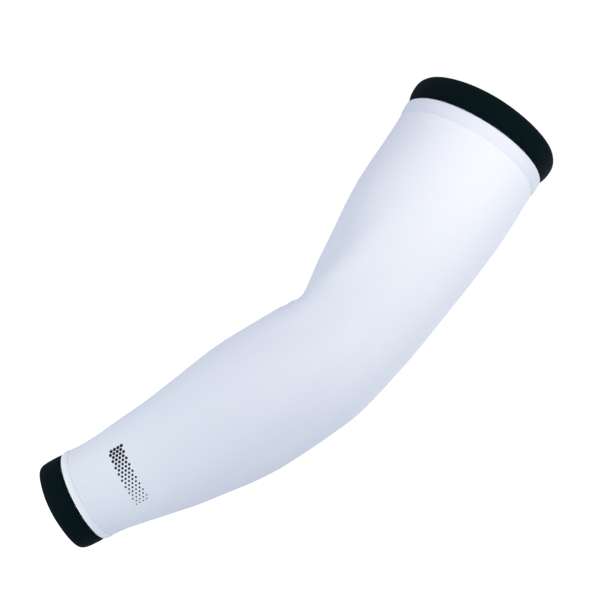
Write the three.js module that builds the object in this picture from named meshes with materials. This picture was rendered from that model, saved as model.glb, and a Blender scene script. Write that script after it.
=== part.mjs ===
// Stretch-knit arm sleeve, held in the form it has on a slightly bent arm: one white knitted tube from the
// upper arm to the wrist, with a black elastic band sewn under each of its two hems.
//
// Frame, in millimetres: the origin is the centre of the upper opening, +Z runs up along the upper arm,
// the forearm bends towards -X (the front, inside of the elbow), +X is the back and +Y the far side.
import * as THREE from "three";

// Lengths along the centre line, from each opening's rim to the corner of the elbow
const UPPER_ARM_LENGTH = 190;
const FOREARM_LENGTH = 207;
const ELBOW_BEND = 28.5; // degrees away from straight
const ELBOW_RADIUS = 70; // of the centre line round the corner

// Outer widths of the cloth in the plane of the bend
const UPPER_ARM_WIDTH = 104;
const ELBOW_WIDTH = 83;
const FOREARM_WIDTH = 91;
const WRIST_WIDTH = 63.5;

// Knit, hems and bands
const CLOTH_WALL = 1.0;
const UPPER_HEM_WIDTH = 10;
const WRIST_HEM_WIDTH = 7;
const HEM_PROUD = 0.3; // the doubled cloth stands this far above the single cloth
const STITCH_GROOVE = 0.25; // the hem's stitch line is pulled in this far
const GROOVE_WIDTH = 1.4;
const BAND_WALL = 1.6;
const BAND_GAP = 0.3; // between a band and the hem that covers its seam allowance
const SEAM_INSET = 1; // a band's hidden edge ends this far short of the hem's stitch line
const UPPER_BAND_SHOWN = 18;
const WRIST_BAND_SHOWN = 17.3;
const UPPER_RIM_FLARE = 2.0; // how far the upper band's rim stands out past the line of the cloth
const WRIST_RIM_FLARE = -0.2;
const RIM_ROUND = 5; // length over which a band's rim curls in
const UPPER_RIM_CURL = 2.4; // how far in it curls
const WRIST_RIM_CURL = 1.2;
const RIM_SLANT = 1.2; // a band is this much narrower at the back than at the front

// How a band's rim curls in. along: shares of RIM_ROUND, curled: shares of the rim's curl
const RIM_CURVE = [
  { along: 0.06, curled: 1 },
  { along: 0.35, curled: 0.4 },
  { along: 1, curled: 0 },
];
const FLARE_HALFWAY = 0.7; // share of the flare that is left halfway from the rim to the hem

// Fineness of the mesh
const SIDES = 36;
const RING_SPACING = 12;
const ELBOW_RING_SPACING = 5.5;
const ELBOW_ZONE = 34; // each side of the elbow's middle, where rings lie closer

// Cross-sections, one row each. at: -1 is the upper rim, 0 the middle of the elbow, 1 the wrist rim.
// front, back and side are half widths as shares of the width in the column of.
const SECTIONS = [
  { at: -1.0, of: UPPER_ARM_WIDTH, front: 0.51, back: 0.487, side: 0.488 },
  { at: -0.91, of: UPPER_ARM_WIDTH, front: 0.516, back: 0.488, side: 0.488 },
  { at: -0.83, of: UPPER_ARM_WIDTH, front: 0.508, back: 0.486, side: 0.485 },
  { at: -0.73, of: UPPER_ARM_WIDTH, front: 0.507, back: 0.49, side: 0.484 },
  { at: -0.63, of: UPPER_ARM_WIDTH, front: 0.509, back: 0.488, side: 0.483 },
  { at: -0.55, of: UPPER_ARM_WIDTH, front: 0.507, back: 0.479, side: 0.476 },
  { at: -0.47, of: UPPER_ARM_WIDTH, front: 0.497, back: 0.469, side: 0.466 },
  { at: -0.36, of: UPPER_ARM_WIDTH, front: 0.474, back: 0.448, side: 0.446 },
  { at: -0.26, of: UPPER_ARM_WIDTH, front: 0.446, back: 0.431, side: 0.427 },
  { at: -0.16, of: ELBOW_WIDTH, front: 0.512, back: 0.514, side: 0.512 },
  { at: -0.11, of: ELBOW_WIDTH, front: 0.508, back: 0.499, side: 0.506 },
  { at: -0.06, of: ELBOW_WIDTH, front: 0.542, back: 0.479, side: 0.505 },
  { at: 0.0, of: ELBOW_WIDTH, front: 0.55, back: 0.478, side: 0.506 },
  { at: 0.09, of: FOREARM_WIDTH, front: 0.509, back: 0.468, side: 0.468 },
  { at: 0.22, of: FOREARM_WIDTH, front: 0.502, back: 0.502, side: 0.47 },
  { at: 0.32, of: FOREARM_WIDTH, front: 0.487, back: 0.518, side: 0.463 },
  { at: 0.41, of: FOREARM_WIDTH, front: 0.455, back: 0.513, side: 0.44 },
  { at: 0.51, of: FOREARM_WIDTH, front: 0.416, back: 0.49, side: 0.41 },
  { at: 0.61, of: WRIST_WIDTH, front: 0.545, back: 0.665, side: 0.54 },
  { at: 0.7, of: WRIST_WIDTH, front: 0.515, back: 0.613, side: 0.495 },
  { at: 0.8, of: WRIST_WIDTH, front: 0.478, back: 0.555, side: 0.455 },
  { at: 0.85, of: WRIST_WIDTH, front: 0.47, back: 0.529, side: 0.442 },
  { at: 0.91, of: WRIST_WIDTH, front: 0.476, back: 0.518, side: 0.437 },
  { at: 1.0, of: WRIST_WIDTH, front: 0.478, back: 0.507, side: 0.432 },
];

// Soft dents and rises of the cloth. turn: degrees round from the front, 90 the near side, -90 the far side.
// deep (inwards) and long (along the arm) are shares of the width in the column of, wide is in degrees.
const DENTS = [
  { at: -0.115, turn: 42, of: ELBOW_WIDTH, deep: 0.026, long: 0.085, wide: 24 },
  { at: -0.115, turn: -42, of: ELBOW_WIDTH, deep: 0.026, long: 0.085, wide: 24 },
  { at: 0.03, turn: 38, of: ELBOW_WIDTH, deep: -0.009, long: 0.16, wide: 26 },
  { at: 0.03, turn: -38, of: ELBOW_WIDTH, deep: -0.009, long: 0.16, wide: 26 },
  { at: -0.34, turn: 20, of: UPPER_ARM_WIDTH, deep: 0.012, long: 0.2, wide: 26 },
  { at: 0.4, turn: 128, of: FOREARM_WIDTH, deep: 0.013, long: 0.34, wide: 24 },
];

// The centre line: straight, an arc at the elbow, straight
const BEND = THREE.MathUtils.degToRad(ELBOW_BEND);
const CORNER_CUT = ELBOW_RADIUS * Math.tan(BEND / 2);
const ARC_LENGTH = ELBOW_RADIUS * BEND;
const ARC_START = UPPER_ARM_LENGTH - CORNER_CUT;
const ARC_END = ARC_START + ARC_LENGTH;
const ELBOW_MIDDLE = (ARC_START + ARC_END) / 2;
const WRIST_RIM = ARC_END + FOREARM_LENGTH - CORNER_CUT;

const CLOTH_TOP = UPPER_BAND_SHOWN;
const CLOTH_END = WRIST_RIM - WRIST_BAND_SHOWN;
const FAR_SIDE = new THREE.Vector3(0, 1, 0);

// The point on the centre line at a distance s from the upper rim, and the direction to the back there
function centreLine(s) {
  const turned = THREE.MathUtils.clamp((s - ARC_START) / ELBOW_RADIUS, 0, BEND);
  const straightBefore = Math.min(s, ARC_START);
  const straightAfter = Math.max(0, s - ARC_END);
  const x = -ELBOW_RADIUS * (1 - Math.cos(turned)) - straightAfter * Math.sin(turned);
  const z = -straightBefore - ELBOW_RADIUS * Math.sin(turned) - straightAfter * Math.cos(turned);
  const toBack = new THREE.Vector3(Math.cos(turned), 0, -Math.sin(turned));
  return { point: new THREE.Vector3(x, 0, z), toBack };
}

function placeOf(s) {
  const length = s < ELBOW_MIDDLE ? ELBOW_MIDDLE : WRIST_RIM - ELBOW_MIDDLE;
  return (s - ELBOW_MIDDLE) / length;
}

// The distance from the upper rim of a place given as in the tables
function distanceOf(at) {
  return ELBOW_MIDDLE + at * (at < 0 ? ELBOW_MIDDLE : WRIST_RIM - ELBOW_MIDDLE);
}

// A column of the sections at any place, on a smooth curve through the rows
function halfWidth(at, column) {
  const value = (i) => SECTIONS[i][column] * SECTIONS[i].of;
  const last = SECTIONS.length - 1;
  const found = SECTIONS.findIndex((row) => row.at > at);
  const i = found < 0 ? last - 1 : Math.max(0, found - 1);
  const slope = (k) => {
    const a = Math.max(0, k - 1);
    const b = Math.min(last, k + 1);
    return (value(b) - value(a)) / (SECTIONS[b].at - SECTIONS[a].at);
  };
  const gap = SECTIONS[i + 1].at - SECTIONS[i].at;
  const t = (at - SECTIONS[i].at) / gap;
  const t2 = t * t;
  const t3 = t2 * t;
  return (2 * t3 - 3 * t2 + 1) * value(i) + (t3 - 2 * t2 + t) * gap * slope(i) +
    (3 * t2 - 2 * t3) * value(i + 1) + (t3 - t2) * gap * slope(i + 1);
}

function dentAt(s, angle) {
  let deep = 0;
  for (const dent of DENTS) {
    const along = (s - distanceOf(dent.at)) / (dent.long * dent.of);
    const away = THREE.MathUtils.radToDeg(angle) - dent.turn;
    const round = (THREE.MathUtils.euclideanModulo(away + 180, 360) - 180) / dent.wide;
    deep += dent.deep * dent.of * Math.exp(-(along * along + round * round) / 2);
  }
  return deep;
}

// A point of the cloth: s along the sleeve, angle round it from the front, out past the cloth's outer face
function clothPoint(s, angle, out) {
  const { point, toBack } = centreLine(s);
  const at = placeOf(s);
  const forward = Math.cos(angle);
  const near = Math.sin(angle);
  const frontOrBack = halfWidth(at, forward > 0 ? "front" : "back");
  const side = halfWidth(at, "side");
  const normal = new THREE.Vector2(forward / frontOrBack, near / side).normalize();
  const offset = out - dentAt(s, angle);
  return point
    .addScaledVector(toBack, -forward * frontOrBack - normal.x * offset)
    .addScaledVector(FAR_SIDE, -near * side - normal.y * offset);
}

// A closed tube wall: its profile is a loop of points { s, out, slant } that is carried round the sleeve.
// slant is how much farther along a point lies at the back than at the front.
function tubeWall(profile) {
  const positions = [];
  for (const { s, out, slant = 0 } of profile) {
    for (let k = 0; k < SIDES; k++) {
      const angle = (2 * Math.PI * k) / SIDES;
      const slanted = s + (slant * (1 - Math.cos(angle))) / 2;
      positions.push(...clothPoint(slanted, angle, out));
    }
  }
  const indices = [];
  for (let i = 0; i < profile.length; i++) {
    const thisRing = i * SIDES;
    const nextRing = ((i + 1) % profile.length) * SIDES;
    for (let k = 0; k < SIDES; k++) {
      const m = (k + 1) % SIDES;
      indices.push(thisRing + k, nextRing + m, thisRing + m);
      indices.push(thisRing + k, nextRing + k, nextRing + m);
    }
  }
  const geometry = new THREE.BufferGeometry();
  geometry.setAttribute("position", new THREE.Float32BufferAttribute(positions, 3));
  geometry.setIndex(indices);
  geometry.computeVertexNormals();
  return geometry;
}

// Distances of the rings between two hems, closer together round the elbow
function ringDistances(from, to) {
  const zoneStart = ELBOW_MIDDLE - ELBOW_ZONE;
  const zoneEnd = ELBOW_MIDDLE + ELBOW_ZONE;
  const stretches = [
    { start: from, end: zoneStart, spacing: RING_SPACING },
    { start: zoneStart, end: zoneEnd, spacing: ELBOW_RING_SPACING },
    { start: zoneEnd, end: to, spacing: RING_SPACING },
  ];
  const rings = [];
  for (const { start, end, spacing } of stretches) {
    const steps = Math.ceil((end - start) / spacing);
    for (let i = 0; i < steps; i++) rings.push(start + ((end - start) * i) / steps);
  }
  rings.push(to);
  return rings;
}

// The outer face of a hem, from the cut edge inwards: rounded edge, doubled cloth, stitch groove
function hemProfile(width) {
  return [
    { in: 0, out: -CLOTH_WALL / 2 },
    { in: HEM_PROUD, out: HEM_PROUD },
    { in: width - GROOVE_WIDTH, out: HEM_PROUD },
    { in: width - GROOVE_WIDTH / 2, out: -STITCH_GROOVE },
    { in: width, out: 0 },
  ];
}

function sleeveBodyGeometry() {
  const upperHem = hemProfile(UPPER_HEM_WIDTH).map((p) => ({ s: CLOTH_TOP + p.in, out: p.out }));
  const wristHem = hemProfile(WRIST_HEM_WIDTH).map((p) => ({ s: CLOTH_END - p.in, out: p.out }));
  const rings = ringDistances(CLOTH_TOP + UPPER_HEM_WIDTH, CLOTH_END - WRIST_HEM_WIDTH);
  const outerFace = rings.slice(1, -1).map((s) => ({ s, out: 0 }));
  const innerFace = rings.map((s) => ({ s, out: -CLOTH_WALL }));
  return tubeWall([
    ...upperHem,
    ...outerFace,
    ...wristHem.reverse(),
    { s: CLOTH_END - HEM_PROUD, out: -CLOTH_WALL },
    ...innerFace.reverse(),
    { s: CLOTH_TOP + HEM_PROUD, out: -CLOTH_WALL },
  ]);
}

// A band's section: curled rim, flare, step down under the hem, hidden edge, and back along the inner face.
// in is the distance from the rim; slant carries the rim's own slant, which dies out at the hem.
function bandProfile({ shown, hemWidth, flare, curl }) {
  const underHem = -CLOTH_WALL - BAND_GAP;
  const rim = RIM_CURVE.map((row) => ({ in: row.along * RIM_ROUND, out: flare - row.curled * curl }));
  const outer = [
    { in: 0, out: flare - curl - BAND_WALL / 2 },
    ...rim,
    { in: (RIM_ROUND + shown) / 2, out: flare * FLARE_HALFWAY },
    { in: shown - 2 * CLOTH_WALL, out: underHem / 3 },
    { in: shown - BAND_GAP, out: underHem },
    { in: shown + hemWidth - SEAM_INSET, out: underHem },
  ];
  const inner = outer.slice(1).reverse().map((p) => ({ in: p.in, out: p.out - BAND_WALL }));
  return [...outer, ...inner].map((p) => ({ ...p, slant: RIM_SLANT * Math.max(0, 1 - p.in / shown) }));
}

function upperBandGeometry() {
  const profile = bandProfile({
    shown: UPPER_BAND_SHOWN,
    hemWidth: UPPER_HEM_WIDTH,
    flare: UPPER_RIM_FLARE,
    curl: UPPER_RIM_CURL,
  });
  return tubeWall(profile.map((p) => ({ s: p.in, out: p.out, slant: p.slant })));
}

function wristBandGeometry() {
  const profile = bandProfile({
    shown: WRIST_BAND_SHOWN,
    hemWidth: WRIST_HEM_WIDTH,
    flare: WRIST_RIM_FLARE,
    curl: WRIST_RIM_CURL,
  });
  return tubeWall(profile.map((p) => ({ s: WRIST_RIM - p.in, out: p.out, slant: -p.slant })).reverse());
}

function whiteKnit() {
  return new THREE.MeshStandardMaterial({ color: 0xe8ebf4, roughness: 0.75, metalness: 0 });
}

function blackElastic() {
  return new THREE.MeshStandardMaterial({ color: 0x061c22, roughness: 0.8, metalness: 0 });
}

function piece(name, geometry, material) {
  const mesh = new THREE.Mesh(geometry, material);
  mesh.name = name;
  return mesh;
}

const armSleeve = new THREE.Group();
armSleeve.add(piece("sleeve_body", sleeveBodyGeometry(), whiteKnit()));
armSleeve.add(piece("upper_band", upperBandGeometry(), blackElastic()));
armSleeve.add(piece("wrist_band", wristBandGeometry(), blackElastic()));

export default armSleeve;
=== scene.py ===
"""Looks of a white stretch-knit arm sleeve with a black elastic band at each end.

The cloth, its hems and bands, the stitching, the long seam and a small print are made as fine
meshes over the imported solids. Sizes are in millimetres, as in the part's source, and points come out
in metres.
"""

import math
import random
from functools import lru_cache

import bmesh
import bpy
from mathutils import Matrix, Vector


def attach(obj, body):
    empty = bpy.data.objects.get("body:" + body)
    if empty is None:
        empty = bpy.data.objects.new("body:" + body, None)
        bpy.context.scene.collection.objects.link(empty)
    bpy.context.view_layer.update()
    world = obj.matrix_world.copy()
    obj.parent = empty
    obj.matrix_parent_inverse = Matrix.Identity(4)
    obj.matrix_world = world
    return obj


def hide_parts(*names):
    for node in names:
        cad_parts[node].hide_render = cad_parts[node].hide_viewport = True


MM = 0.001

# Lengths along the centre line, from each rim to the elbow's corner, and the bend in radians
UPPER_ARM_LENGTH = 190
FOREARM_LENGTH = 207
ELBOW_BEND = math.radians(28.5)
ELBOW_RADIUS = 70

# Outer widths of the cloth in the plane of the bend
UPPER_ARM_WIDTH = 104
ELBOW_WIDTH = 83
FOREARM_WIDTH = 91
WRIST_WIDTH = 63.5

# Knit and hems. A groove is its depth, its reach and the length of the step to the single cloth.
CLOTH_WALL = 1.0
CLOTH_FACE_INSET = 0.2
UPPER_HEM_WIDTH = 10
WRIST_HEM_WIDTH = 7
HEM_PROUD = 0.3
HEM_EDGE_ROUND = 0.7
HEM_CROWN = 0.12
WRIST_HEM_SHOWN = 5.4
UPPER_GROOVE = (0.45, 1.3, 1.4)
WRIST_GROOVE = (0.3, 0.55, 1.2)

# Where the upper groove is slack: turn and width in degrees, and the share of its depth it loses
GROOVE_SLACK_TURN = 112
GROOVE_SLACK_WIDTH = 32
GROOVE_SLACK_SHARE = 0.65

# Bands
BAND_WALL = 1.6
BAND_GAP = 0.3
SEAM_INSET = 1
UPPER_BAND_SHOWN = 18
WRIST_BAND_SHOWN = 17.3
UPPER_RIM_FLARE = 2.0
WRIST_RIM_FLARE = -0.2
RIM_ROUND = 5
UPPER_RIM_CURL = 2.4
WRIST_RIM_CURL = 1.2
RIM_SLANT = 1.2
RIM_WAVE = 0.25
FLARE_HALFWAY = 0.7

# How a rim curls in: shares of RIM_ROUND in from the rim, with shares of the curl
RIM_CURVE = [(0.06, 1), (0.35, 0.4), (1, 0)]

# Cross-sections: place, width they are shares of, and half widths to the front, back and side
SECTIONS = [
    (-1.0, UPPER_ARM_WIDTH, 0.51, 0.487, 0.488),
    (-0.91, UPPER_ARM_WIDTH, 0.516, 0.488, 0.488),
    (-0.83, UPPER_ARM_WIDTH, 0.508, 0.486, 0.485),
    (-0.73, UPPER_ARM_WIDTH, 0.507, 0.49, 0.484),
    (-0.63, UPPER_ARM_WIDTH, 0.509, 0.488, 0.483),
    (-0.55, UPPER_ARM_WIDTH, 0.507, 0.479, 0.476),
    (-0.47, UPPER_ARM_WIDTH, 0.497, 0.469, 0.466),
    (-0.36, UPPER_ARM_WIDTH, 0.474, 0.448, 0.446),
    (-0.26, UPPER_ARM_WIDTH, 0.446, 0.431, 0.427),
    (-0.16, ELBOW_WIDTH, 0.512, 0.514, 0.512),
    (-0.11, ELBOW_WIDTH, 0.508, 0.499, 0.506),
    (-0.06, ELBOW_WIDTH, 0.542, 0.479, 0.505),
    (0.0, ELBOW_WIDTH, 0.55, 0.478, 0.506),
    (0.09, FOREARM_WIDTH, 0.509, 0.468, 0.468),
    (0.22, FOREARM_WIDTH, 0.502, 0.502, 0.47),
    (0.32, FOREARM_WIDTH, 0.487, 0.518, 0.463),
    (0.41, FOREARM_WIDTH, 0.455, 0.513, 0.44),
    (0.51, FOREARM_WIDTH, 0.416, 0.49, 0.41),
    (0.61, WRIST_WIDTH, 0.545, 0.665, 0.54),
    (0.7, WRIST_WIDTH, 0.515, 0.613, 0.495),
    (0.8, WRIST_WIDTH, 0.478, 0.555, 0.455),
    (0.85, WRIST_WIDTH, 0.47, 0.529, 0.442),
    (0.91, WRIST_WIDTH, 0.476, 0.518, 0.437),
    (1.0, WRIST_WIDTH, 0.478, 0.507, 0.432),
]
FRONT, BACK, SIDE = 2, 3, 4

# Soft dents: place, turn from the front in degrees, width they are shares of, depth, length, and
# width in degrees
DENTS = [
    (-0.115, 42, ELBOW_WIDTH, 0.026, 0.085, 24),
    (-0.115, -42, ELBOW_WIDTH, 0.026, 0.085, 24),
    (0.03, 38, ELBOW_WIDTH, -0.009, 0.16, 26),
    (0.03, -38, ELBOW_WIDTH, -0.009, 0.16, 26),
    (-0.34, 20, UPPER_ARM_WIDTH, 0.012, 0.2, 26),
    (0.4, 128, FOREARM_WIDTH, 0.013, 0.34, 24),
]

# The centre line: straight, an arc at the elbow, straight
CORNER_CUT = ELBOW_RADIUS * math.tan(ELBOW_BEND / 2)
ARC_START = UPPER_ARM_LENGTH - CORNER_CUT
ARC_END = ARC_START + ELBOW_RADIUS * ELBOW_BEND
ELBOW_MIDDLE = (ARC_START + ARC_END) / 2
WRIST_RIM = ARC_END + FOREARM_LENGTH - CORNER_CUT
CLOTH_TOP = UPPER_BAND_SHOWN
CLOTH_END = WRIST_RIM - WRIST_BAND_SHOWN

# The stitch lines of the hems
UPPER_HEM_LINE = CLOTH_TOP + UPPER_HEM_WIDTH - UPPER_GROOVE[2] / 2
WRIST_HEM_LINE = CLOTH_END - WRIST_HEM_SHOWN + WRIST_GROOVE[2] / 2

# Soft folds of the cloth: place, turn in degrees, depth, length and width, and lean in degrees
FOLDS = [
    (-0.352, 33, 2.7, 21.8, 9.9, 8),
    (-0.201, 55, -2.4, 15.8, 6.6, -31),
    (-0.362, 72, -2.1, 18.3, 8.3, -12),
    (-0.09, 36, -2.4, 16.4, 9.7, -8),
    (-0.213, 83, 0.8, 15.9, 9.7, 2),
    (0.0, 69, 2.2, 26.3, 8.5, -16),
    (-0.77, 37, 1.0, 18, 13, 0),
    (-0.022, 27, 2.2, 9, 9, 0),
    (0.043, 122, 1.6, 24, 9, 12),
    (0.28, 146, 1.8, 36, 9, 4),
]
FOLD_REACH = 90

# Waves that stitch lines draw in: distance along, reach, waves round, depth, shift
PUCKERS = [
    (CLOTH_TOP + UPPER_HEM_WIDTH, 5, 17, 0.12, 0.4),
    (CLOTH_END - WRIST_HEM_SHOWN, 3, 13, 0.07, 1.1),
]

# Stitches along the hems, and across the edges where the cloth meets a band
HEM_STITCH_PITCH = 2.9
HEM_STITCH_LENGTH = 2.0
HEM_STITCH_SLANT = 0.08
HEM_STITCH_DRIFT = 0.06
HEM_STITCH_DEPTH = 0.2
HEM_THREAD = 0.17
UPPER_EDGE_PITCH = 1.15
WRIST_EDGE_PITCH = 1.5
EDGE_STITCH_DRIFT = 0.2
EDGE_STITCH_ON_CLOTH = (0.5, 1.0)
EDGE_STITCH_ON_BAND = (0.35, 1.15)
EDGE_STITCH_LIFT = 0.05
EDGE_STITCH_DIP = 0.45
EDGE_THREAD = 0.11

# The long flat seam on the far side, with a row of stitches along each edge and threads across
SEAM_TURN = math.radians(-90)
SEAM_PROUD = 0.45
SEAM_HALF_WIDTH = 2.6
SEAM_FINENESS = 0.5
SEAM_END_GAP = 1
SEAM_STITCH_SHARE = 0.8
SEAM_STITCH_HEIGHT = 0.72 * SEAM_PROUD
SEAM_STITCH_PITCH = 2.4
SEAM_STITCH_GAP = 0.3
SEAM_THREAD = 0.16
SEAM_CROSS_THREAD = 0.12

# The print: columns of dots round the arm, from large to small, and its place along the sleeve
PRINT_COLUMNS = 18
PRINT_ROWS = 4
PRINT_PITCH = 2.6
PRINT_LARGEST = 1.2
PRINT_SMALLEST = 0.5
PRINT_FADE = 0.8
PRINT_COLUMN_SHARE = 0.87
PRINT_PROUD = 0.09
PRINT_EDGE_PROUD = 0.02
PRINT_MIDDLE = 340.0
PRINT_START = -11.0

# Colours, linear
WHITE_LOW = (0.855, 0.875, 0.915, 1)
WHITE_HIGH = (0.875, 0.895, 0.93, 1)
# Painted shade: the white knit is painted darker in the gaps between its loops
WHITE_GAP_SHADE = (0.74, 0.78, 0.85, 1)
# Painted shade: the upper hem strip is painted darker than the body
UPPER_HEM_PAINTED_SHADE = (0.8, 0.82, 0.88, 1)
# Painted light: the wrist hem strip is painted lighter, standing in for the rolled hem catching the
# light
WRIST_HEM_PAINTED_LIGHT = (0.95, 0.95, 0.97, 1)
BLACK_LOW = (0.0002, 0.0055, 0.0065, 1)
BLACK_HIGH = (0.0006, 0.0085, 0.0105, 1)
# Painted shade: the black elastic is painted darker in the gaps between its loops
BLACK_GAP_SHADE = (0.0001, 0.002, 0.0025, 1)
INK_LOW = (0.004, 0.007, 0.014, 1)
INK_HIGH = (0.008, 0.013, 0.024, 1)
THREAD_WHITE = (0.84, 0.86, 0.9, 1)

# The camera stands where the view of both rims and the outline put it
CAMERA_LENS = 56.44
CAMERA_PLACE = Vector((0.0960, -0.6153, -0.2328))
CAMERA_RIGHT = Vector((0.8246, 0.1282, 0.5510))
CAMERA_UP = Vector((-0.5226, -0.2007, 0.8286))
CAMERA_BACK = Vector((0.2168, -0.9712, -0.0985))

# Stage and cool light all round
FLOOR_HEIGHT = -0.62
FLOOR_RADIUS = 12
FLOOR_GLOW = 0.75
BACKDROP_STRENGTH = 1.06
AMBIENT_COLOUR = (0.742, 0.825, 1.0, 1)
AMBIENT_STRENGTH = 0.718

# Soft boxes, in metres: the point they face, their direction from it in the camera's axes,
# distance, size, power and colour
SOFT_BOXES = [
    ("key", (0.0, 0.0, -0.04), (0.38, 0.1, 0.92), 0.42, 0.28, 0.95, (1.0, 0.91, 0.79)),
    ("wrist_fill", (-0.09, 0.0, -0.353), (-0.87, -0.4, 0.29), 0.31, 0.21, 0.89, (0.91, 1.0, 0.81)),
    ("arm_fill", (-0.025, 0.0, -0.237), (-0.445, 0.84, 0.31), 0.52, 0.35, 0.22, (1.0, 0.75, 0.72)),
    ("back_fill", (-0.03, 0.0, -0.19), (0.5, -0.25, -0.83), 0.9, 0.7, 2.0, (1.0, 0.97, 0.9)),
]

# Fineness of the meshes
FABRIC_SIDES = 200
BAND_SIDES = 160
FINE_STEP = 0.3
COARSE_STEP = 2.6
INNER_STEP = 5.0
PARTS_AT_ONCE = 30


# The form of the sleeve


def smooth(t):
    """A soft step from 0 at 0 to 1 at 1."""
    t = min(max(t, 0.0), 1.0)
    return t * t * (3 - 2 * t)


@lru_cache(maxsize=None)
def centre_line(s):
    """The centre line's point at a distance from the upper rim, and the direction to the back."""
    turned = min(max((s - ARC_START) / ELBOW_RADIUS, 0.0), ELBOW_BEND)
    before, after = min(s, ARC_START), max(0.0, s - ARC_END)
    x = -ELBOW_RADIUS * (1 - math.cos(turned)) - after * math.sin(turned)
    z = -before - ELBOW_RADIUS * math.sin(turned) - after * math.cos(turned)
    return (x, z), (math.cos(turned), -math.sin(turned))


def distance_of(at):
    """How far a place is from the upper rim. -1 is that rim, 0 mid elbow and 1 the wrist rim."""
    return ELBOW_MIDDLE + at * (ELBOW_MIDDLE if at < 0 else WRIST_RIM - ELBOW_MIDDLE)


def place_of(s):
    """The place of a distance from the upper rim, the other way round from distance_of."""
    return (s - ELBOW_MIDDLE) / (ELBOW_MIDDLE if s < ELBOW_MIDDLE else WRIST_RIM - ELBOW_MIDDLE)


def curve_through(rows, x, column):
    """A column of a table at x, on a smooth curve through its rows. Their first column holds x."""
    last = len(rows) - 1
    i = max(0, min(last - 1, next((k for k in range(last + 1) if rows[k][0] > x), last) - 1))

    def slope(k):
        a, b = max(0, k - 1), min(last, k + 1)
        return (column(rows[b]) - column(rows[a])) / (rows[b][0] - rows[a][0])

    gap = rows[i + 1][0] - rows[i][0]
    t = (x - rows[i][0]) / gap
    t2, t3 = t * t, t * t * t
    return (
        (2 * t3 - 3 * t2 + 1) * column(rows[i])
        + (t3 - 2 * t2 + t) * gap * slope(i)
        + (3 * t2 - 2 * t3) * column(rows[i + 1])
        + (t3 - t2) * gap * slope(i + 1)
    )


@lru_cache(maxsize=None)
def half_width(s, which):
    """Half the cloth's width to the front, back or side, in millimetres."""
    return curve_through(SECTIONS, place_of(s), lambda row: row[1] * row[which])


def turned_from(angle, turn):
    """Degrees from the place that is turned that many degrees from the front."""
    return (math.degrees(angle) - turn + 180) % 360 - 180


def dent_at(s, angle):
    """How far the soft dents lie in."""
    deep = 0.0
    for at, turn, width, share, long, wide in DENTS:
        along = (s - distance_of(at)) / (long * width)
        away = turned_from(angle, turn) / wide
        deep += share * width * math.exp(-(along * along + away * away) / 2)
    return deep


def fold_at(s, angle):
    """How far the soft folds lie in. They lean across the sleeve."""
    deep = 0.0
    for at, turn, depth, long, wide, lean in FOLDS:
        along = s - distance_of(at)
        around = math.radians(turned_from(angle, turn)) * half_width(s, SIDE)
        if abs(along) > FOLD_REACH:
            continue
        c, d = math.cos(math.radians(lean)), math.sin(math.radians(lean))
        a = (along * c + around * d) / long
        b = (around * c - along * d) / wide
        deep += depth * math.exp(-(a * a + b * b) / 2)
    return deep


def cloth_point(s, angle, out=0.0, folds=True):
    """A point of the cloth: s along, angle round from the front, and out past the outer face."""
    (x, z), (bx, bz) = centre_line(s)
    forward, near = math.cos(angle), math.sin(angle)
    fb = half_width(s, FRONT if forward > 0 else BACK)
    side = half_width(s, SIDE)
    nx, ny = forward / fb, near / side
    length = math.hypot(nx, ny)
    offset = out - dent_at(s, angle) - (fold_at(s, angle) if folds else 0.0)
    across = -forward * fb - nx / length * offset
    return Vector((x + bx * across, -near * side - ny / length * offset, z + bz * across)) * MM


@lru_cache(maxsize=None)
def girth_table(s):
    """Lengths round the cloth, in millimetres, from the long seam through 360 steps back to it."""
    steps = [cloth_point(s, SEAM_TURN + math.radians(k), 0.0, False) for k in range(361)]
    total, table = 0.0, [0.0]
    for a, b in zip(steps, steps[1:]):
        total += (b - a).length / MM
        table.append(total)
    return tuple(table)


def angle_at(s, length):
    """The angle at a length round the cloth, in millimetres from the line opposite the seam."""
    table = girth_table(round(s, 1))
    wanted = length + table[180]
    lo, hi = 0, 360
    while hi - lo > 1:
        mid = (lo + hi) // 2
        lo, hi = (mid, hi) if table[mid] <= wanted else (lo, mid)
    share = (wanted - table[lo]) / (table[lo + 1] - table[lo])
    return SEAM_TURN + math.radians(lo + share)


def hem_relief(inward, width, groove):
    """How far a hem's outer face stands out, at a distance in from its edge."""
    depth, reach, step = groove
    rise = min(inward / HEM_EDGE_ROUND, 1.0)
    edge = -CLOTH_WALL / 2 + (CLOTH_WALL / 2 + HEM_PROUD) * math.sqrt(1 - (1 - rise) ** 2)
    doubled = 1 - smooth((inward - (width - step)) / step)
    crown = HEM_CROWN * math.sin(math.pi * min(inward / (width - step / 2), 1.0))
    line = depth * math.exp(-(((inward - width + step / 2) / reach) ** 2))
    return edge * (doubled if rise >= 1 else 1) + crown - line


def pucker_at(s, angle):
    """The shallow waves that the stitch lines draw into the cloth."""
    deep = 0.0
    for line, reach, waves, depth, shift in PUCKERS:
        near = math.exp(-(((s - line) / reach) ** 2))
        if near < 0.01:
            continue
        wave = math.sin(waves * angle + shift) * math.sin(0.37 * waves * angle + 2.1 * shift)
        deep += depth * near * (wave + 0.4 * math.sin(2.3 * waves * angle + shift))
    return deep


def steps_between(start, end, features, fine=FINE_STEP, coarse=COARSE_STEP):
    """Distances from start to end, closer together near the features."""
    found = [start]
    while found[-1] < end - fine:
        nearest = min(abs(found[-1] + fine - f) for f in features)
        found.append(found[-1] + min(max(fine, 0.4 * nearest), coarse))
    return [start + (d - start) * (end - start) / (found[-1] - start) for d in found]


# Meshes


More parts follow.
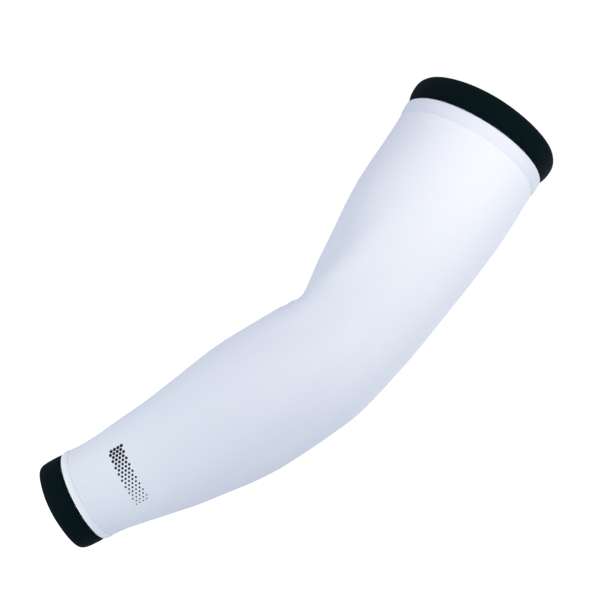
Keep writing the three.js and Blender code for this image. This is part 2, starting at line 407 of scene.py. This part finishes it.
def finished(name, bm, material, replaces=()):
    """Makes an object of a bmesh, at the origin, shaded smooth, riding on the sleeve."""
    mesh = bpy.data.meshes.new(name)
    bm.to_mesh(mesh)
    bm.free()
    mesh.polygons.foreach_set("use_smooth", [True] * len(mesh.polygons))
    mesh.materials.append(material)
    made = bpy.data.objects.new(name, mesh)
    bpy.context.scene.collection.objects.link(made)
    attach(made, "root")
    if replaces:
        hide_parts(*replaces)
    return made


def extruded_ring(bm, ring, edges):
    """Extrudes a ring once. The new vertices come back in the ring's own order."""
    geometry = bmesh.ops.extrude_edge_only(bm, edges=edges)["geom"]
    new = {g for g in geometry if isinstance(g, bmesh.types.BMVert)}
    following = []
    for vert in ring:
        following.append(next(e.other_vert(vert) for e in vert.link_edges if e.other_vert(vert) in new))
    new_edges = [g for g in geometry if isinstance(g, bmesh.types.BMEdge) and set(g.verts) <= new]
    return following, new_edges


def tube_wall(sides, profile, place):
    """A closed tube wall: a ring is extruded from each row of the profile to the next, and the last
    ring is bridged to the first. place(row, angle) gives a point."""
    bm = bmesh.new()
    ring = bmesh.ops.create_circle(bm, radius=1.0, segments=sides)["verts"]
    edges = list(bm.edges)
    first_edges, rings = edges, []
    for number, row in enumerate(profile):
        if number:
            ring, edges = extruded_ring(bm, ring, edges)
        rings.append(ring)
        for k, vert in enumerate(ring):
            vert.co = place(row, side_angle(k, sides))
    bmesh.ops.bridge_loops(bm, edges=first_edges + edges)
    bmesh.ops.recalc_face_normals(bm, faces=bm.faces)
    bm.verts.index_update()
    spread_cloth_map(bm, rings, sides)
    return bm


def spread_cloth_map(bm, rings, sides):
    """Writes the cloth map, in metres: across is the length round the cloth from the line opposite
    the long seam, and up is the length along it."""
    where, travelled = {}, 0.0
    middle = sides // 2
    for number, ring in enumerate(rings):
        if number:
            travelled += (ring[middle].co - rings[number - 1][middle].co).length
        table = [0.0]
        for a, b in zip(ring, ring[1:] + ring[:1]):
            table.append(table[-1] + (b.co - a.co).length)
        for k, vert in enumerate(ring):
            where[vert] = (k, table[k] - table[middle], table[-1] - table[middle], travelled)
    round_wall = travelled + (rings[0][middle].co - rings[-1][middle].co).length
    layer = bm.loops.layers.uv.new("cloth")
    for face in bm.faces:
        found = [where[loop.vert] for loop in face.loops]
        closing = max(f[0] for f in found) == sides - 1 and min(f[0] for f in found) == 0
        wraps = max(f[3] for f in found) - min(f[3] for f in found) > round_wall / 2
        for loop, (k, across, closed_across, up) in zip(face.loops, found):
            across = closed_across if closing and k == 0 else across
            loop[layer].uv = (across, round_wall if wraps and up == 0 else up)


def capsule(bm, start, end, radius, sides=6):
    """A short rounded thread from start to end, in metres."""
    middle, along = (start + end) / 2, end - start
    turn = along.to_track_quat("Z", "Y").to_matrix().to_4x4()
    size = Matrix.Diagonal((radius, radius, along.length / 2 + radius * 0.6, 1))
    matrix = Matrix.Translation(middle) @ turn @ size
    bmesh.ops.create_uvsphere(bm, u_segments=sides, v_segments=4, radius=1.0, matrix=matrix)


def joined_small_parts(parts, make):
    """Makes many small parts, a few at a time, as an operator slows down when its mesh grows."""
    whole = bmesh.new()
    for first in range(0, len(parts), PARTS_AT_ONCE):
        few = bmesh.new()
        for part in parts[first : first + PARTS_AT_ONCE]:
            make(few, *part)
        mesh = bpy.data.meshes.new("few")
        few.to_mesh(mesh)
        few.free()
        whole.from_mesh(mesh)
        bpy.data.meshes.remove(mesh)
    return whole


# Pieces


def side_angle(k, sides):
    """The angle of a side, with the sides closer together at the long seam."""
    share = k / sides
    return SEAM_TURN + 2 * math.pi * share - SEAM_FINENESS * math.sin(2 * math.pi * share)


def seam_relief(s, angle):
    """The long flat seam, where the cloth's two edges are sewn over each other."""
    away = abs(turned_from(angle, math.degrees(SEAM_TURN))) * math.pi / 180 * half_width(s, SIDE)
    return SEAM_PROUD * math.exp(-((away / SEAM_HALF_WIDTH) ** 4))


def outer_relief(s, angle):
    """How far the cloth's outer face stands out past the plain form: seam, hems and puckers."""
    relief = seam_relief(s, angle) - pucker_at(s, angle)
    if s < CLOTH_TOP + UPPER_HEM_WIDTH * 1.5:
        depth, reach, step = UPPER_GROOVE
        slack = math.exp(-((turned_from(angle, GROOVE_SLACK_TURN) / GROOVE_SLACK_WIDTH) ** 2))
        groove = (depth * (1 - GROOVE_SLACK_SHARE * slack), reach, step)
        relief += hem_relief(s - CLOTH_TOP, UPPER_HEM_WIDTH, groove)
    if s > CLOTH_END - WRIST_HEM_WIDTH * 1.5:
        relief += hem_relief(CLOTH_END - s, WRIST_HEM_SHOWN, WRIST_GROOVE)
    return relief


def outer_rows():
    """Distances along the sleeve for the rings of the cloth's outer face."""
    features = [CLOTH_TOP, UPPER_HEM_LINE, WRIST_HEM_LINE, CLOTH_END]
    return steps_between(CLOTH_TOP, CLOTH_END, features)


def outer_length():
    """The length of the cloth's outer face on the cloth map, in metres."""
    points = [cloth_point(s, -SEAM_TURN, outer_relief(s, -SEAM_TURN)) for s in outer_rows()]
    return sum((b - a).length for a, b in zip(points, points[1:]))


def sleeve_fabric(material):
    """The knitted tube with its two hems, outer and inner face."""
    outer = outer_rows()
    start, end = CLOTH_TOP + CLOTH_FACE_INSET, CLOTH_END - CLOTH_FACE_INSET
    inner = steps_between(start, end, [CLOTH_TOP, CLOTH_END], 0.8, INNER_STEP)
    profile = [(s, True) for s in outer] + [(s, False) for s in reversed(inner)]

    def place(row, angle):
        s, outside = row
        return cloth_point(s, angle, outer_relief(s, angle) if outside else -CLOTH_WALL)

    bm = tube_wall(FABRIC_SIDES, profile, place)
    made = finished("sleeve_fabric", bm, material, ["sleeve_body"])
    return made


def band_section(shown, hem_width, flare, curl):
    """A band's closed section: its rim fold, outer face and inner face, as distances in from the
    rim and heights past the line of the cloth."""
    under_hem = -CLOTH_WALL - BAND_GAP
    rows = [(share * RIM_ROUND, flare - curled * curl) for share, curled in RIM_CURVE]
    rows += [
        ((RIM_ROUND + shown) / 2, flare * FLARE_HALFWAY),
        (shown - 2 * CLOTH_WALL, under_hem / 3),
        (shown - BAND_GAP, under_hem),
        (shown + hem_width - SEAM_INSET, under_hem),
    ]

    def height(inward):
        return curve_through(rows, inward, lambda row: row[1])

    fold = BAND_WALL / 2
    end = shown + hem_width - SEAM_INSET
    nose = [
        (fold - fold * math.cos(turn), height(fold) - fold + fold * math.sin(turn))
        for turn in (math.radians(d) for d in range(-70, 71, 20))
    ]
    outer = steps_between(fold, end, [fold, shown - BAND_GAP], 0.35, 1.3)
    inner = steps_between(fold, end, [fold, end], 0.7, 2.2)
    outer_face = [(d, height(d)) for d in outer]
    inner_face = [(d, height(d) - BAND_WALL) for d in reversed(inner)]
    return nose + outer_face + inner_face


def elastic_band(name, node, material, from_rim, shown, section):
    """A fold-over elastic band. from_rim turns a distance in from its rim into one along the
    sleeve."""

    def place(row, angle):
        inward, out = row
        free = max(0.0, 1 - inward / shown)
        wave = RIM_WAVE * math.sin(3 * angle + shown) * math.sin(1.7 * angle) * free
        slant = RIM_SLANT * free * (1 - math.cos(angle)) / 2
        s = from_rim(inward + slant + wave)
        return cloth_point(s, angle, out, False)

    bm = tube_wall(BAND_SIDES, section, place)
    made = finished(name, bm, material, [node])
    return made


def hem_topstitch(name, s, material):
    """One row of running stitches, lying in the hem's groove."""
    rng = random.Random(7)
    girth = girth_table(round(s, 1))[-1]
    count = round(girth / HEM_STITCH_PITCH)
    threads = []
    for i in range(count):
        middle = (i + 0.5) * girth / count - girth / 2
        drift = rng.uniform(-HEM_STITCH_DRIFT, HEM_STITCH_DRIFT)
        ends = [
            cloth_point(
                s + side * HEM_STITCH_SLANT + drift,
                angle_at(s, middle + side * HEM_STITCH_LENGTH / 2),
                -HEM_STITCH_DEPTH,
            )
            for side in (-1, 1)
        ]
        threads.append((*ends, HEM_THREAD * MM))
    return finished(name, joined_small_parts(threads, capsule), material)


def edge_stitches(name, s, towards_cloth, material, pitch, seed):
    """Fine stitches that bind a hem's edge to its band: each starts on the cloth, dips over the
    edge and ends on the band."""
    rng = random.Random(seed)
    girth = girth_table(round(s, 1))[-1]
    count = round(girth / pitch)
    on_band = -CLOTH_WALL - BAND_GAP + EDGE_STITCH_LIFT
    threads = []
    for i in range(count):
        drift = rng.uniform(-EDGE_STITCH_DRIFT, EDGE_STITCH_DRIFT)
        angle = angle_at(s, (i + 0.5) * girth / count - girth / 2 + drift)
        inward, over = rng.uniform(*EDGE_STITCH_ON_CLOTH), rng.uniform(*EDGE_STITCH_ON_BAND)
        start = cloth_point(s + towards_cloth * inward, angle, HEM_PROUD + EDGE_STITCH_LIFT)
        dip = cloth_point(s - towards_cloth * 0.12, angle + 0.001, -EDGE_STITCH_DIP)
        end = cloth_point(s - towards_cloth * over, angle + 0.003, on_band)
        threads += [(start, dip, EDGE_THREAD * MM, 5), (dip, end, EDGE_THREAD * MM, 5)]
    return finished(name, joined_small_parts(threads, capsule), material)


def long_seam(material):
    """The flat seam's threads: a row of stitches along each edge, and threads that cross between."""
    start = CLOTH_TOP + UPPER_HEM_WIDTH + SEAM_END_GAP
    end = CLOTH_END - WRIST_HEM_WIDTH - SEAM_END_GAP
    count = round((end - start) / SEAM_STITCH_PITCH)
    step = (end - start) / count
    threads = []
    for i in range(count):
        s = start + i * step
        turn = SEAM_HALF_WIDTH * SEAM_STITCH_SHARE / half_width(s, SIDE)
        for angle in (SEAM_TURN - turn, SEAM_TURN + turn):
            a = cloth_point(s + SEAM_STITCH_GAP, angle, SEAM_STITCH_HEIGHT)
            b = cloth_point(s + step - SEAM_STITCH_GAP, angle, SEAM_STITCH_HEIGHT)
            middle = cloth_point(s + step / 2, SEAM_TURN, SEAM_PROUD + SEAM_CROSS_THREAD)
            threads.append((a, b, SEAM_THREAD * MM, 5))
            threads.append((a, middle, SEAM_CROSS_THREAD * MM, 5))
            threads.append((middle, b, SEAM_CROSS_THREAD * MM, 5))
    return finished("long_seam_threads", joined_small_parts(threads, capsule), material)


def dotted_print(material):
    """A strip of printed dots above the wrist hem, from large dots to small ones."""
    dots = []
    for column in range(PRINT_COLUMNS):
        share = column / (PRINT_COLUMNS - 1)
        radius = PRINT_LARGEST + (PRINT_SMALLEST - PRINT_LARGEST) * share**PRINT_FADE
        across = PRINT_START + column * PRINT_PITCH * PRINT_COLUMN_SHARE
        stagger = 0.5 if column % 2 else 0.0
        for row in range(PRINT_ROWS):
            along = (row + stagger - (PRINT_ROWS - 0.5) / 2) * PRINT_PITCH
            dots.append((PRINT_MIDDLE + along, across, radius))
    return finished("wrist_print", joined_small_parts(dots, printed_dot), material)


def printed_dot(bm, s, across, radius):
    """One dot, laid on the cloth: a disc whose points follow the cloth, with a thin edge."""
    disc = bmesh.ops.create_circle(bm, cap_ends=True, radius=radius, segments=14)["verts"]
    face = disc[0].link_faces[0]
    ring = bmesh.ops.inset_region(bm, faces=[face], thickness=radius * 0.5)["faces"]
    rim = set(disc)
    for vert in {v for f in ring + [face] for v in f.verts}:
        height = PRINT_EDGE_PROUD if vert in rim else PRINT_PROUD
        place = s + vert.co.y
        vert.co = cloth_point(place, angle_at(place, across + vert.co.x), height)


# Shader helpers


def maths(tree, operation, a, b=None, c=None, clamp=False):
    """A Math node. a, b and c are numbers or sockets."""
    made = tree.nodes.new("ShaderNodeMath")
    made.operation, made.use_clamp = operation, clamp
    for socket, value in zip(made.inputs, (a, b, c)):
        if value is None:
            continue
        if isinstance(value, (int, float)):
            socket.default_value = value
        else:
            tree.links.new(value, socket)
    return made.outputs[0]


def colour_mix(tree, factor, a, b):
    """A blend of two colours, each a socket or four numbers."""
    made = tree.nodes.new("ShaderNodeMix")
    made.data_type = "RGBA"
    tree.links.new(factor, made.inputs["Factor"])
    for socket, value in ((made.inputs[6], a), (made.inputs[7], b)):
        if isinstance(value, tuple):
            socket.default_value = value
        else:
            tree.links.new(value, socket)
    return made.outputs[2]


def group_with(name, inputs, outputs):
    """A shader node group with named sockets: its tree, its input node and its output node."""
    tree = bpy.data.node_groups.new(name, "ShaderNodeTree")
    for label, kind, value in inputs:
        socket = tree.interface.new_socket(label, in_out="INPUT", socket_type=kind)
        if value is not None:
            socket.default_value = value
    for label in outputs:
        tree.interface.new_socket(label, in_out="OUTPUT", socket_type="NodeSocketFloat")
    return tree, tree.nodes.new("NodeGroupInput"), tree.nodes.new("NodeGroupOutput")


def knit_loops():
    """Rows of knitted loops on the cloth map. Height is their relief, Gaps a mask of the gaps between
    them, which the materials paint darker as painted shade.
    """
    tree, given, made = group_with(
        "knit loops",
        [
            ("Map", "NodeSocketVector", None),
            ("Wale", "NodeSocketFloat", 0.0008),
            ("Course", "NodeSocketFloat", 0.0006),
            ("Slant", "NodeSocketFloat", 0.9),
        ],
        ["Height", "Gaps"],
    )
    split = tree.nodes.new("ShaderNodeSeparateXYZ")
    tree.links.new(given.outputs["Map"], split.inputs[0])
    across = maths(tree, "DIVIDE", split.outputs[0], given.outputs["Wale"])
    along = maths(tree, "DIVIDE", split.outputs[1], given.outputs["Course"])
    leg = maths(tree, "ABSOLUTE", maths(tree, "SUBTRACT", maths(tree, "FRACT", across), 0.5))
    leg = maths(tree, "MULTIPLY", leg, 2.0)
    ridge = maths(tree, "SINE", maths(tree, "MULTIPLY", leg, math.pi))
    lean = maths(tree, "MULTIPLY", leg, given.outputs["Slant"])
    turn = maths(tree, "MULTIPLY", maths(tree, "ADD", along, lean), 2 * math.pi)
    row = maths(tree, "MULTIPLY_ADD", maths(tree, "SINE", turn), 0.5, 0.5)
    ridge_part, row_part = maths(tree, "MULTIPLY", ridge, 0.6), maths(tree, "MULTIPLY", row, 0.4)
    height = maths(tree, "ADD", ridge_part, row_part)
    tree.links.new(height, made.inputs["Height"])
    gaps = maths(tree, "POWER", maths(tree, "SUBTRACT", 1.0, height, clamp=True), 2.0)
    tree.links.new(gaps, made.inputs["Gaps"])
    return tree


def cloth_unevenness():
    """Slow unevenness of a knit on the cloth map: Streaks run along it, Mottle is cloudy."""
    tree, given, made = group_with(
        "cloth unevenness",
        [("Map", "NodeSocketVector", None), ("Size", "NodeSocketFloat", 0.01)],
        ["Streaks", "Mottle"],
    )
    scale = maths(tree, "DIVIDE", 1.0, given.outputs["Size"])
    stretch = tree.nodes.new("ShaderNodeMapping")
    stretch.inputs["Scale"].default_value = (1.0, 0.06, 1.0)
    tree.links.new(given.outputs["Map"], stretch.inputs["Vector"])
    for label, vector, times, detail in (
        ("Streaks", stretch.outputs[0], 3.0, 3.0),
        ("Mottle", given.outputs["Map"], 1.0, 4.0),
    ):
        noise = tree.nodes.new("ShaderNodeTexNoise")
        noise.inputs["Detail"].default_value = detail
        tree.links.new(vector, noise.inputs["Vector"])
        tree.links.new(maths(tree, "MULTIPLY", scale, times), noise.inputs["Scale"])
        tree.links.new(noise.outputs["Fac"], made.inputs[label])
    return tree


def material_with_shader(name):
    """A new material, its node tree and its Principled shader."""
    material = bpy.data.materials.new(name)
    material.use_nodes = True
    return material, material.node_tree, material.node_tree.nodes["Principled BSDF"]


def place_group(tree, group, links, **values):
    """Places a node group, with sockets linked to some inputs and values set on others."""
    made = tree.nodes.new("ShaderNodeGroup")
    made.node_tree = group
    for label, socket in links.items():
        tree.links.new(socket, made.inputs[label])
    for label, value in values.items():
        made.inputs[label].default_value = value
    return made


def cloth_map(tree):
    """The piece's own map, in metres round and along the cloth."""
    made = tree.nodes.new("ShaderNodeUVMap")
    made.uv_map = "cloth"
    return made.outputs["UV"]


def raised(tree, shader, height, distance, strength, under=None):
    """A Bump node on the shader's Normal, over another one where under is given."""
    bump = tree.nodes.new("ShaderNodeBump")
    bump.inputs["Distance"].default_value = distance
    bump.inputs["Strength"].default_value = strength
    tree.links.new(height, bump.inputs["Height"])
    if under is not None:
        tree.links.new(under, bump.inputs["Normal"])
    tree.links.new(bump.outputs["Normal"], shader.inputs["Normal"])
    return bump.outputs["Normal"]


def strip_mask(tree, distance, width, soft):
    """1 where a distance is less than a width, falling to 0 over a soft edge. All in metres."""
    made = tree.nodes.new("ShaderNodeMapRange")
    made.interpolation_type = "SMOOTHSTEP"
    made.inputs["From Min"].default_value = width + soft
    made.inputs["From Max"].default_value = width - soft
    tree.links.new(distance, made.inputs["Value"])
    return made.outputs["Result"]


def white_knit(loops, unevenness, length):
    """Smooth fine white knit with a soft sheen. The upper hem strip is painted darker as painted shade,
    the wrist hem strip is painted lighter as painted light, and the gaps between the loops are painted
    darker as painted shade.
    """
    material, tree, shader = material_with_shader("white stretch knit")
    place = cloth_map(tree)
    knit = place_group(tree, loops, {"Map": place}, Wale=0.00085, Course=0.00062, Slant=0.9)
    uneven = place_group(tree, unevenness, {"Map": place}, Size=0.012)
    body = colour_mix(tree, uneven.outputs["Streaks"], WHITE_LOW, WHITE_HIGH)
    split = tree.nodes.new("ShaderNodeSeparateXYZ")
    tree.links.new(place, split.inputs[0])
    from_wrist = maths(tree, "ABSOLUTE", maths(tree, "SUBTRACT", split.outputs[1], length))
    # Painted shade: the upper hem strip is painted darker
    upper = strip_mask(tree, split.outputs[1], UPPER_HEM_WIDTH * MM, soft=0.0008)
    body = colour_mix(tree, upper, body, UPPER_HEM_PAINTED_SHADE)
    # Painted light: the wrist hem strip is painted lighter
    wrist = strip_mask(tree, from_wrist, WRIST_HEM_SHOWN * MM, soft=0.0004)
    body = colour_mix(tree, wrist, body, WRIST_HEM_PAINTED_LIGHT)
    # Painted shade: the gaps between the knit's loops are painted darker
    gap = maths(tree, "MULTIPLY", knit.outputs["Gaps"], 0.25)
    tree.links.new(colour_mix(tree, gap, body, WHITE_GAP_SHADE), shader.inputs["Base Color"])
    rough = maths(tree, "ADD", maths(tree, "MULTIPLY", uneven.outputs["Mottle"], 0.16), 0.56)
    tree.links.new(rough, shader.inputs["Roughness"])
    shader.inputs["Specular IOR Level"].default_value = 0.35
    shader.inputs["Sheen Weight"].default_value = 0.18
    shader.inputs["Sheen Roughness"].default_value = 0.45
    slow = raised(tree, shader, uneven.outputs["Mottle"], distance=0.0006, strength=0.25)
    raised(tree, shader, knit.outputs["Height"], distance=0.00012, strength=0.5, under=slow)
    return material


def black_elastic(loops, unevenness):
    """Matt black fold-over elastic with fine ribs, painted darker in the gaps between its loops as
    painted shade.
    """
    material, tree, shader = material_with_shader("black ribbed elastic")
    place = cloth_map(tree)
    knit = place_group(tree, loops, {"Map": place}, Wale=0.0012, Course=0.0007, Slant=0.5)
    uneven = place_group(tree, unevenness, {"Map": place}, Size=0.006)
    body = colour_mix(tree, uneven.outputs["Mottle"], BLACK_LOW, BLACK_HIGH)
    # Painted shade: the gaps between the elastic's loops are painted darker
    gap = maths(tree, "MULTIPLY", knit.outputs["Gaps"], 0.5)
    tree.links.new(colour_mix(tree, gap, body, BLACK_GAP_SHADE), shader.inputs["Base Color"])
    rough = maths(tree, "ADD", maths(tree, "MULTIPLY", uneven.outputs["Streaks"], 0.12), 0.72)
    tree.links.new(rough, shader.inputs["Roughness"])
    shader.inputs["Specular IOR Level"].default_value = 0.06
    slow = raised(tree, shader, uneven.outputs["Mottle"], distance=0.0005, strength=0.3)
    raised(tree, shader, knit.outputs["Height"], distance=0.0002, strength=0.6, under=slow)
    return material


def white_thread():
    """White polyester sewing thread: a twist runs round each stitch."""
    material, tree, shader = material_with_shader("white sewing thread")
    place = tree.nodes.new("ShaderNodeTexCoord").outputs["Object"]
    twist = tree.nodes.new("ShaderNodeTexWave")
    twist.bands_direction = "DIAGONAL"
    twist.inputs["Scale"].default_value = 1300
    tree.links.new(place, twist.inputs["Vector"])
    shade = maths(tree, "MULTIPLY", twist.outputs["Fac"], 0.35)
    dark = tuple(c * 0.7 for c in THREAD_WHITE[:3]) + (1.0,)
    tree.links.new(colour_mix(tree, shade, THREAD_WHITE, dark), shader.inputs["Base Color"])
    shader.inputs["Roughness"].default_value = 0.55
    shader.inputs["Sheen Weight"].default_value = 0.1
    raised(tree, shader, twist.outputs["Fac"], distance=0.00005, strength=0.4)
    return material


def print_ink():
    """Dark blue-black pressed ink, a little smoother than the cloth, with a fine grain."""
    material, tree, shader = material_with_shader("pressed ink")
    place = tree.nodes.new("ShaderNodeTexCoord").outputs["Object"]
    grain = tree.nodes.new("ShaderNodeTexNoise")
    grain.inputs["Scale"].default_value = 1500
    tree.links.new(place, grain.inputs["Vector"])
    colour = colour_mix(tree, grain.outputs["Fac"], INK_LOW, INK_HIGH)
    tree.links.new(colour, shader.inputs["Base Color"])
    rough = maths(tree, "ADD", maths(tree, "MULTIPLY", grain.outputs["Fac"], 0.2), 0.4)
    tree.links.new(rough, shader.inputs["Roughness"])
    shader.inputs["Specular IOR Level"].default_value = 0.3
    raised(tree, shader, grain.outputs["Fac"], distance=0.0001, strength=0.3)
    return material


# Stage, light and camera


def studio_world():
    """White behind everything that the camera sees, and a weaker, cooler light all round."""
    world = bpy.data.worlds.new("studio")
    bpy.context.scene.world = world
    world.use_nodes = True
    tree = world.node_tree
    seen = tree.nodes["Background"]
    seen.inputs["Color"].default_value = (1, 1, 1, 1)
    seen.inputs["Strength"].default_value = BACKDROP_STRENGTH
    round_it = tree.nodes.new("ShaderNodeBackground")
    round_it.inputs["Color"].default_value = AMBIENT_COLOUR
    round_it.inputs["Strength"].default_value = AMBIENT_STRENGTH
    path = tree.nodes.new("ShaderNodeLightPath")
    pick = tree.nodes.new("ShaderNodeMixShader")
    tree.links.new(path.outputs["Is Camera Ray"], pick.inputs[0])
    tree.links.new(round_it.outputs[0], pick.inputs[1])
    tree.links.new(seen.outputs[0], pick.inputs[2])
    tree.links.new(pick.outputs[0], tree.nodes["World Output"].inputs["Surface"])


def studio_floor():
    """A wide pale floor below the sleeve, lit up to white as a light table is."""
    material, tree, shader = material_with_shader("pale floor")
    shader.inputs["Base Color"].default_value = (0.9, 0.9, 0.9, 1)
    shader.inputs["Roughness"].default_value = 0.9
    shader.inputs["Specular IOR Level"].default_value = 0.1
    shader.inputs["Emission Color"].default_value = (1, 1, 1, 1)
    path = tree.nodes.new("ShaderNodeLightPath")
    glow = maths(tree, "MULTIPLY", path.outputs["Is Camera Ray"], FLOOR_GLOW)
    tree.links.new(glow, shader.inputs["Emission Strength"])
    bm = bmesh.new()
    bmesh.ops.create_circle(bm, cap_ends=True, radius=FLOOR_RADIUS, segments=96)
    bmesh.ops.translate(bm, verts=bm.verts, vec=(0, 0, FLOOR_HEIGHT))
    mesh = bpy.data.meshes.new("floor")
    bm.to_mesh(mesh)
    bm.free()
    mesh.materials.append(material)
    floor = bpy.data.objects.new("floor", mesh)
    bpy.context.scene.collection.objects.link(floor)


def soft_box(name, aim, towards, distance, size, power, colour):
    """A square soft light that faces a point. towards is its direction in the camera's axes."""
    right, up, back = towards
    direction = (CAMERA_RIGHT * right + CAMERA_UP * up + CAMERA_BACK * back).normalized()
    data = bpy.data.lights.new(name, "AREA")
    data.shape, data.size, data.energy, data.color = "SQUARE", size, power, colour
    made = bpy.data.objects.new(name, data)
    made.location = Vector(aim) + direction * distance
    made.rotation_mode = "QUATERNION"
    made.rotation_quaternion = direction.to_track_quat("Z", "Y")
    made.visible_camera = False
    bpy.context.scene.collection.objects.link(made)


def front_camera():
    """The camera, in front of the near side and a little below the elbow."""
    data = bpy.data.cameras.new("camera")
    data.sensor_fit, data.sensor_width, data.lens = "HORIZONTAL", 36, CAMERA_LENS
    data.clip_start, data.clip_end = 0.05, 50
    made = bpy.data.objects.new("camera", data)
    turn = Matrix((CAMERA_RIGHT, CAMERA_UP, CAMERA_BACK)).transposed().to_4x4()
    made.matrix_world = Matrix.Translation(CAMERA_PLACE) @ turn
    bpy.context.scene.collection.objects.link(made)
    bpy.context.scene.camera = made


# The sleeve, its stage and its camera

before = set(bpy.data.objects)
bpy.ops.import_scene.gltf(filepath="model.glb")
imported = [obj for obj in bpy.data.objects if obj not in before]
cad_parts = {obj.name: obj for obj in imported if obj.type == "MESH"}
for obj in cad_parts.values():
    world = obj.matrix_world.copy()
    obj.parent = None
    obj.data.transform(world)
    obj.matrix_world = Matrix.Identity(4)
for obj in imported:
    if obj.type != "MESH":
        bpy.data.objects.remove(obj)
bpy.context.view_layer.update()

knit = knit_loops()
unevenness = cloth_unevenness()
white = white_knit(knit, unevenness, outer_length())
black = black_elastic(knit, unevenness)
stitching = white_thread()

elastic_band(
    "upper_elastic",
    "upper_band",
    black,
    lambda inward: inward,
    UPPER_BAND_SHOWN,
    band_section(UPPER_BAND_SHOWN, UPPER_HEM_WIDTH, UPPER_RIM_FLARE, UPPER_RIM_CURL),
)
elastic_band(
    "wrist_elastic",
    "wrist_band",
    black,
    lambda inward: WRIST_RIM - inward,
    WRIST_BAND_SHOWN,
    band_section(WRIST_BAND_SHOWN, WRIST_HEM_WIDTH, WRIST_RIM_FLARE, WRIST_RIM_CURL),
)
sleeve_fabric(white)
hem_topstitch("upper_hem_stitches", UPPER_HEM_LINE, stitching)
hem_topstitch("wrist_hem_stitches", WRIST_HEM_LINE, stitching)
edge_stitches("upper_edge_stitches", CLOTH_TOP, 1, stitching, UPPER_EDGE_PITCH, seed=3)
edge_stitches("wrist_edge_stitches", CLOTH_END, -1, stitching, WRIST_EDGE_PITCH, seed=4)
long_seam(stitching)
dotted_print(print_ink())

studio_world()
studio_floor()
for box in SOFT_BOXES:
    soft_box(*box)
front_camera()
bpy.context.scene.view_settings.view_transform = "Standard"
